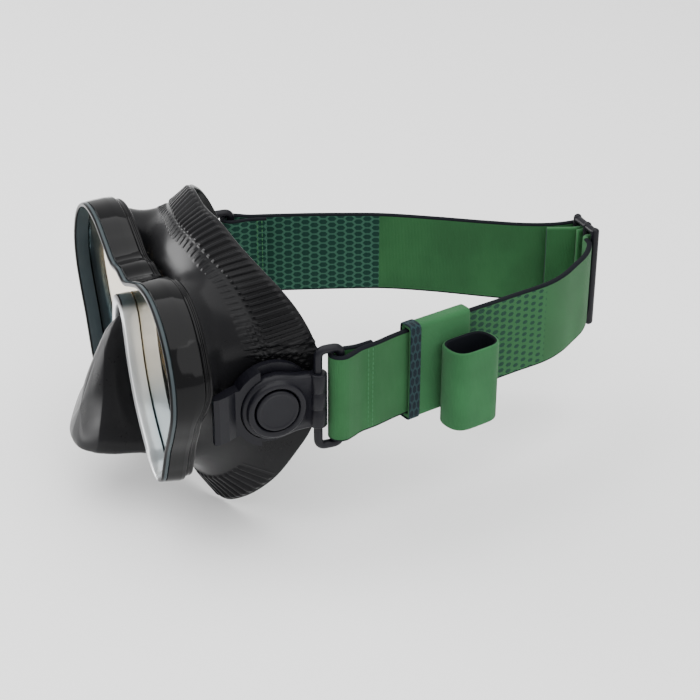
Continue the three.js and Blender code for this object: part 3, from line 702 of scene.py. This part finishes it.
def build_ring(side, word):
    """A wire of round section, bent to a rounded rectangle that stands on edge."""
    front, back = STRAP_RING_FRONT_Y, STRAP_RING_BACK_Y
    low, high = BUCKLE_Z - STRAP_RING_HALF_HEIGHT, BUCKLE_Z + STRAP_RING_HALF_HEIGHT
    path = fillet([(front, low), (back, low), (back, high), (front, high)], STRAP_RING_CORNER, 8)
    path = even_loop(path, 220)
    skins = []
    for angle in np.linspace(0, 2 * np.pi, 20, endpoint=False):
        flat = path + rightward(path) * WIRE_R * math.cos(angle)
        x = side * STRAP_RING_X + WIRE_R * math.sin(angle)
        skins.append(np.stack([np.full(len(flat), x), flat[:, 0], flat[:, 1]], 1))
    ring = loft(f"wide_ring_{word}", skins, [looks["buckle"]])
    finish_piece(ring, f"ring_{word}", "buckle_black", f"strap_ring_{word}")


def build_buckle(side, word):
    build_housing(side, word)
    build_barrel(side, word)
    build_button(side, word)
    build_ring(side, word)
    bevelled(f"buckle_base_{word}", 0.45)
    for node, look in ((f"buckle_base_{word}", "buckle"), (f"buckle_pivot_{word}", "steel"),
                       (f"button_spring_{word}", "steel")):
        paint(node, look)


def paint(node, look):
    mesh = frame["nodes"][node].data
    mesh.materials.clear()
    mesh.materials.append(looks[look])


# ------------------------------------------------------------------ strap
LEFT_BAR = np.array([STRAP_RING_X, STRAP_RING_BACK_Y])
RIGHT_BAR = np.array([-STRAP_RING_X, STRAP_RING_BACK_Y])
LEFT_CORNER = np.array([44.5, 183.0])
LEFT_ALONG = (LEFT_CORNER - LEFT_BAR) / np.linalg.norm(LEFT_CORNER - LEFT_BAR)
RIGHT_ALONG = np.array([-62.5, 108.0]) - RIGHT_BAR
RIGHT_ALONG = RIGHT_ALONG / np.linalg.norm(RIGHT_ALONG)
LEFT_OUT = np.array([LEFT_ALONG[1], -LEFT_ALONG[0]])
RIGHT_OUT = -np.array([RIGHT_ALONG[1], -RIGHT_ALONG[0]])
WRAP_R = 4.0                     # leaves the ring room to flap inside the sewn loop
BAR_POINT = 6                    # the point of a route halfway round the ring's bar
PLY = 1.4                        # from the middle between the sewn plies to the middle of each


def ring_wrap(bar, along, out):
    """From the sewn tail, round the ring's bar and away along the outside."""
    def at(far, side):
        return bar + along * far + out * side
    tail = [at(17, -PLY), at(9, -1.7), at(4, -3.1)]
    bend = [at(-WRAP_R * math.cos(a), WRAP_R * math.sin(a)) for a in np.radians(range(-90, 91, 30))]
    return [*tail, *bend, at(4, 3.1), at(9, 1.7), at(17, PLY)]


INSIDE_Y, OUTSIDE_Y = SLIDER_Y - 3.6, SLIDER_Y + 3.6
LEFT_ROUTE = [
    *ring_wrap(LEFT_BAR, LEFT_ALONG, LEFT_OUT),
    *[LEFT_BAR + LEFT_ALONG * far for far in (30, 50, 70, 95)], LEFT_CORNER,
    [39.5, 193], [32, 203], [25, 211.5], [19, 216.6], [14, INSIDE_Y - 0.9], [10.5, INSIDE_Y - 0.2],
    [8.1, INSIDE_Y + 0.2], [7.1, SLIDER_Y - 2.2], [6.95, SLIDER_Y], [6.9, SLIDER_Y + 2.2],
    [5.7, OUTSIDE_Y + 0.1], [3.4, OUTSIDE_Y + 0.4], [1.1, OUTSIDE_Y], [0.1, SLIDER_Y + 2.2],
    [0, SLIDER_Y], [0, INSIDE_Y + 0.4],
]
RIGHT_ROUTE = [
    *ring_wrap(RIGHT_BAR, RIGHT_ALONG, RIGHT_OUT), [-58.5, 122], [-50.5, 143], [-38, 165], [-25, 185],
    [-16, 200], [-11.8, 210], [-10.2, 217], [-9.9, SLIDER_Y - 2], [-9.9, SLIDER_Y + 1.5],
    [-8.7, OUTSIDE_Y + 0.2], [-6.4, OUTSIDE_Y + 0.7], [-4.2, OUTSIDE_Y + 0.2], [-3.1, SLIDER_Y + 2],
    [-3.1, SLIDER_Y - 2], [-3.6, SLIDER_Y - 4.6], [-5.6, 214], [-7.6, 208.6],
]


STRAP_STEP = 0.8                 # about how far apart the band's sections stand


def route_line(route):
    """Even points along a plan route, with the distance of each from the ring's bar."""
    fine = spline(np.array([np.asarray(p, float) for p in route]), np.linspace(0, 1, 4000), False)
    length = np.concatenate([[0], np.cumsum(np.linalg.norm(np.diff(fine, axis=0), axis=1))])
    bar = length[np.argmin(np.abs(np.linspace(0, 1, 4000) - BAR_POINT / (len(route) - 1)))]
    wanted = np.linspace(0, length[-1], int(length[-1] / STRAP_STEP))
    return np.stack([np.interp(wanted, length, fine[:, k]) for k in range(2)], 1), wanted - bar


def strap_section():
    """The band's cut end as (across, up): flat faces with a bulging core between the bindings."""
    half, tall = STRAP_THICK / 2, STRAP_HALF_HEIGHT
    face = np.linspace(-tall + 1.0, tall - 1.0, 22)
    right = [(half, z) for z in face]
    over = [(half * 0.98, tall - 0.45), (half * 0.72, tall - 0.12), (0.0, tall), (-half * 0.72, tall - 0.12),
            (-half * 0.98, tall - 0.45)]
    left = [(-half, z) for z in face[::-1]]
    under = [(-x, -z) for x, z in over]
    return np.array([*right, *over, *left, *under])


RIPPLE, RIPPLE_LENGTH = 0.22, 21.0     # the strap's edges wander a little
BINDING = 0.5                    # width of the dark edge on each face


def band(name, route, look):
    """A strap along its route; the folded-back end past the slider has fabric on its edges too."""
    middle, far = route_line(route)
    bound = far[-1] - FOLDED_END
    along = np.gradient(middle, axis=0)
    along /= np.linalg.norm(along, axis=1, keepdims=True)
    out = np.stack([along[:, 1], -along[:, 0]], 1)
    section = strap_section()
    ripple = RIPPLE * np.sin(far / RIPPLE_LENGTH)
    rings = []
    for i in range(len(middle)):
        plan = middle[i] + out[i] * section[:, :1]
        rings.append(np.column_stack([plan, BUCKLE_Z + section[:, 1] + ripple[i] * np.sign(section[:, 1])]))
    rings = np.array(rings)
    count, around = rings.shape[:2]
    faces = loft_faces(count, around, False)
    face_uv, kinds = [], []
    for i in range(count - 1):
        for j in range(around):
            k = (j + 1) % around
            face_uv += [(far[i], section[j, 1]), (far[i], section[k, 1]), (far[i + 1], section[k, 1]),
                        (far[i + 1], section[j, 1])]
            edge = max(abs(section[j, 1]), abs(section[k, 1])) > STRAP_HALF_HEIGHT - BINDING
            kinds.append(int(edge and far[i] < bound))
    ends = [tuple(range(around))[::-1], tuple((count - 1) * around + j for j in range(around))]
    face_uv += [(0, 0)] * (2 * around)
    kinds += [0, 0]
    return make_mesh(name, rings.reshape(-1, 3), faces + ends, [looks[look], looks["core"]], uv=face_uv,
                     face_material=kinds)


STITCH = ((-0.85, 0.05), (-0.6, 0.2), (0.0, 0.26), (0.6, 0.2), (0.85, 0.05))     # up, radius
STITCH_SIDES = 8
STITCH_HEIGHTS = BUCKLE_Z + np.arange(-18.0, 18.5, 2.25)
STITCH_ROWS = (12.5, 14.8)       # distance of each row from the ring's bar


def stitches(name, bar, along, out, far, offset):
    """A row of thread stitches up the band, standing just proud of its face."""
    turns = np.linspace(0, 2 * np.pi, STITCH_SIDES, endpoint=False)
    middle = bar + along * far + out * offset
    last = (len(STITCH) - 1) * STITCH_SIDES
    rings, faces = [], []
    for z in STITCH_HEIGHTS:
        start = len(rings) * STITCH_SIDES
        for up, radius in STITCH:
            plan = middle + np.outer(np.cos(turns) * radius, along) + np.outer(np.sin(turns) * radius, out)
            rings.append(np.column_stack([plan, np.full(STITCH_SIDES, z + up)]))
        faces += [tuple(start + v for v in face) for face in loft_faces(len(STITCH), STITCH_SIDES, False)]
        faces.append(tuple(start + j for j in range(STITCH_SIDES))[::-1])
        faces.append(tuple(start + last + j for j in range(STITCH_SIDES)))
    piece = make_mesh(name, np.concatenate(rings), faces, [looks["thread"]])
    finish_piece(piece, "strap_loop", "strap_green")


def build_strap():
    for word, route in (("left", LEFT_ROUTE), ("right", RIGHT_ROUTE)):
        piece = band(f"printed_strap_{word}", route, f"strap_{word}")
        finish_piece(piece, "strap_loop", "strap_green", f"strap_{word}")
    offset = PLY + STRAP_THICK / 2 + 0.05
    for word, *ends in (("left", LEFT_BAR, LEFT_ALONG, LEFT_OUT),
                        ("right", RIGHT_BAR, RIGHT_ALONG, RIGHT_OUT)):
        for n, far in enumerate(STITCH_ROWS):
            stitches(f"stitches_{word}_out_{n}", *ends, far, offset)
            stitches(f"stitches_{word}_in_{n}", *ends, far, -offset)


# ------------------------------------------------------------------ slider
SLIDER_RODS = ((-6.4, 1.6), (3.45, 1.65), (10.9, 1.8))      # middle and half width of each upright
SLIDER_HALF_HEIGHT = 25.0
SLIDER_HALF_DEPTH = 2.0
CROSS_BAR_UP, CROSS_BAR_REACH = 22.7, 1
CROSS_BAR_HALF = (1.7, 1.8)      # half height and half depth
ROD_END = 1.6                    # length of a bar's rounded end


def rod(name, start, end, half_wide, half_deep):
    """A bar with an oval section and rounded ends."""
    start, end = np.array(start, float), np.array(end, float)
    ahead = (end - start) / np.linalg.norm(end - start)
    deep = np.array([0.0, 1.0, 0.0])
    wide = np.cross(deep, ahead)
    length = np.linalg.norm(end - start)
    turns = np.linspace(0, 2 * np.pi, 28, endpoint=False)
    rings = []
    for step in (0.0, 0.12, 0.35, 0.7, 1.1, ROD_END):
        rings.append((step, math.sqrt(max(0.12, 1 - (1 - step / ROD_END) ** 2))))
    rings += [(length - step, share) for step, share in rings[::-1]]
    skins = [start + ahead * step + np.outer(np.cos(turns) * half_wide * share, wide)
             + np.outer(np.sin(turns) * half_deep * share, deep) for step, share in rings]
    return loft(name, skins, [looks["buckle"]], closed=False)


def build_slider():
    low, high = BUCKLE_Z - SLIDER_HALF_HEIGHT, BUCKLE_Z + SLIDER_HALF_HEIGHT
    for n, (x, half) in enumerate(SLIDER_RODS):
        upright = rod(f"slider_upright_{n}", (x, SLIDER_Y, low), (x, SLIDER_Y, high), half,
                      SLIDER_HALF_DEPTH)
        finish_piece(upright, "strap_loop", "buckle_black", *(("slider",) if n == 0 else ()))
    left, right = SLIDER_RODS[0][0] - CROSS_BAR_REACH, SLIDER_RODS[-1][0] + CROSS_BAR_REACH
    for word, up in (("top", CROSS_BAR_UP), ("bottom", -CROSS_BAR_UP)):
        bar = rod(f"slider_{word}_bar", (left, SLIDER_Y, BUCKLE_Z + up), (right, SLIDER_Y, BUCKLE_Z + up),
                  *CROSS_BAR_HALF)
        finish_piece(bar, "strap_loop", "buckle_black")


# ------------------------------------------------------------------ snorkel keeper
def on_left_strap(points):
    """From (outwards, along, up) about the left ring's bar to the drawing."""
    points = np.asarray(points, float)
    plan = LEFT_BAR + points[..., :1] * LEFT_OUT + points[..., 1:2] * LEFT_ALONG
    return np.concatenate([plan, BUCKLE_Z + points[..., 2:3]], -1)


def across_strap(flat, along):
    """A loop of (outwards, up) round the strap, that far from the ring's bar."""
    return on_left_strap(np.column_stack([flat[:, 0], np.full(len(flat), along), flat[:, 1]]))


def beside_strap(flat, up):
    """A level loop of (outwards, along) beside the strap."""
    return on_left_strap(np.column_stack([flat, np.full(len(flat), up)]))


WALL_STEPS, LIP_STEPS = 12, 7


def lipped_tube(name, outer, wall, low, high, place, materials):
    """A soft-walled tube inside a closed outline, with rounded lips; its inside is bare core."""
    inner = outer - rightward(outer) * wall
    middle, half = (outer + inner) / 2, (outer - inner) / 2
    thick = np.linalg.norm(half, axis=1).mean()
    straight = np.linspace(low + thick, high - thick, WALL_STEPS)
    angles = np.linspace(0, math.pi, LIP_STEPS + 2)[1:-1]
    rings = [(middle + half, z) for z in straight]
    rings += [(middle + half * math.cos(a), high - thick + thick * math.sin(a)) for a in angles]
    rings += [(middle - half, z) for z in straight[::-1]]
    rings += [(middle - half * math.cos(a), low + thick - thick * math.sin(a)) for a in angles]
    count, around = len(rings), len(outer)
    points = np.array([place(flat, z) for flat, z in rings])
    length = np.concatenate([[0], np.cumsum(np.linalg.norm(np.diff(outer, axis=0), axis=1))])
    core_from, core_to = WALL_STEPS + LIP_STEPS // 2, 2 * WALL_STEPS + LIP_STEPS
    uv, kinds = [], []
    for i in range(count):
        for j in range(around):
            k = (j + 1) % around
            z0, z1 = rings[i][1], rings[(i + 1) % count][1]
            end = length[k] if k else length[-1] + 0.5
            uv += [(length[j], z0), (end, z0), (end, z1), (length[j], z1)]
            kinds.append(int(core_from <= i < core_to))
    return make_mesh(name, points.reshape(-1, 3), loft_faces(count, around, True), materials, uv=uv,
                     face_material=kinds)


def rounded_box(low_x, low_y, high_x, high_y, radius, count):
    path = fillet([(low_x, low_y), (high_x, low_y), (high_x, high_y), (low_x, high_y)], radius, 8)
    return even_loop(path, count)


KEEPER_WALL = 1.9
SLEEVE_HALF_THICK, SLEEVE_HALF_HEIGHT = 3.5, 22.3
SLEEVE_FROM, SLEEVE_TO = 34.0, 66.0
HEM_PROUD, HEM_WALL = 0.5, 0.7
HEM_FROM, HEM_TO = 33.6, 39.2
TUBE_GAP, TUBE_DEPTH = 0.25, 16.5
TUBE_FROM, TUBE_TO = 47, 72      # along the strap
TUBE_LOW, TUBE_HIGH = -26.0, 11.5


def build_keeper():
    half, tall = SLEEVE_HALF_THICK, SLEEVE_HALF_HEIGHT
    fabric = [looks["keeper"], looks["core"]]
    sleeve_outer = rounded_box(-half, -tall, half, tall, 2.2, 200)
    sleeve = lipped_tube("keeper_sleeve_fabric", sleeve_outer, KEEPER_WALL, SLEEVE_FROM, SLEEVE_TO,
                         across_strap, fabric)
    finish_piece(sleeve, "keeper", "keeper_green", "keeper_sleeve")

    wide, high = half + HEM_PROUD, tall + HEM_PROUD
    hem_outer = rounded_box(-wide, -high, wide, high, 2.6, 200)
    hem = lipped_tube("keeper_hem_band", hem_outer, HEM_WALL, HEM_FROM, HEM_TO, across_strap,
                      [looks["hem"], looks["core"]])
    finish_piece(hem, "keeper", "keeper_green")

    back = half + TUBE_GAP
    tube_outer = rounded_box(back, TUBE_FROM, back + TUBE_DEPTH, TUBE_TO, 8.2, 160)
    tube = lipped_tube("keeper_tube_fabric", tube_outer, KEEPER_WALL, TUBE_LOW, TUBE_HIGH, beside_strap,
                       fabric)
    finish_piece(tube, "keeper", "keeper_green", "keeper_tube")


# ------------------------------------------------------------------ stage
FLOOR_GAP, FLOOR_REACH = 0.0015, 6.0
LIGHTS = (                       # name, place and width in metres, power
    ("over", (0.1, 0.0, 1.3), 2.2, 28),
    ("front_left", (-0.8, -1.2, 0.2), 1.3, 42),
    ("near_side", (1.3, 0.5, 0.8), 1.2, 7),
)
LIT_POINT = Vector((0, 0.03, 0))


def build_floor():
    low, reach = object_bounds()[0].z - FLOOR_GAP, FLOOR_REACH
    corners = [(x, y, low) for x, y in ((-reach, -reach), (reach, -reach), (reach, reach), (-reach, reach))]
    mesh = bpy.data.meshes.new("floor")
    mesh.from_pydata(corners, [], [(0, 1, 2, 3)])
    floor = bpy.data.objects.new("floor", mesh)
    bpy.context.scene.collection.objects.link(floor)
    pale = Nodes("pale_floor").set(Base_Color=(0.93, 0.93, 0.93, 1), Roughness=0.85, Specular_IOR_Level=0.1)
    mesh.materials.append(pale)


def build_light(name, place, width, power):
    data = bpy.data.lights.new(name, "AREA")
    data.shape = "DISK"
    data.size = width
    data.energy = power
    lamp = bpy.data.objects.new(name, data)
    lamp.location = place
    lamp.rotation_mode = "QUATERNION"
    lamp.rotation_quaternion = (LIT_POINT - Vector(place)).to_track_quat("-Z", "Y")
    bpy.context.scene.collection.objects.link(lamp)


def build_stage():
    build_floor()
    world = bpy.data.worlds.new("studio")
    world.use_nodes = True
    background = world.node_tree.nodes["Background"].inputs
    background["Color"].default_value = (1.0, 1.0, 1.0, 1)
    background["Strength"].default_value = 1.0
    bpy.context.scene.world = world
    for light in LIGHTS:
        build_light(*light)


AZIMUTH, ELEVATION, ROLL = (math.radians(angle) for angle in (68.39, 28.38, 0.23))
CAMERA_PLACE = Vector((676.8, -162.0, 332.5))
LENS, SENSOR = 92.5, 36


def build_camera():
    back = Vector((math.sin(AZIMUTH) * math.cos(ELEVATION), -math.cos(AZIMUTH) * math.cos(ELEVATION),
                   math.sin(ELEVATION)))
    right = Vector((math.cos(AZIMUTH), math.sin(AZIMUTH), 0))
    up = back.cross(right)
    right, up = right * math.cos(ROLL) + up * math.sin(ROLL), up * math.cos(ROLL) - right * math.sin(ROLL)
    data = bpy.data.cameras.new("camera")
    data.lens = LENS
    data.sensor_width = SENSOR
    data.clip_start, data.clip_end = 0.05, 40
    camera = bpy.data.objects.new("camera", data)
    place = Vector(ORIGIN) + CAMERA_PLACE * MM
    camera.matrix_world = Matrix.Translation(place) @ Matrix((right, up, back)).transposed().to_4x4()
    bpy.context.scene.collection.objects.link(camera)
    bpy.context.scene.camera = camera


build_camera()
build_front()
build_silicone()
for side, word in ((1, "left"), (-1, "right")):
    build_buckle(side, word)
build_strap()
build_slider()
build_keeper()
build_stage()
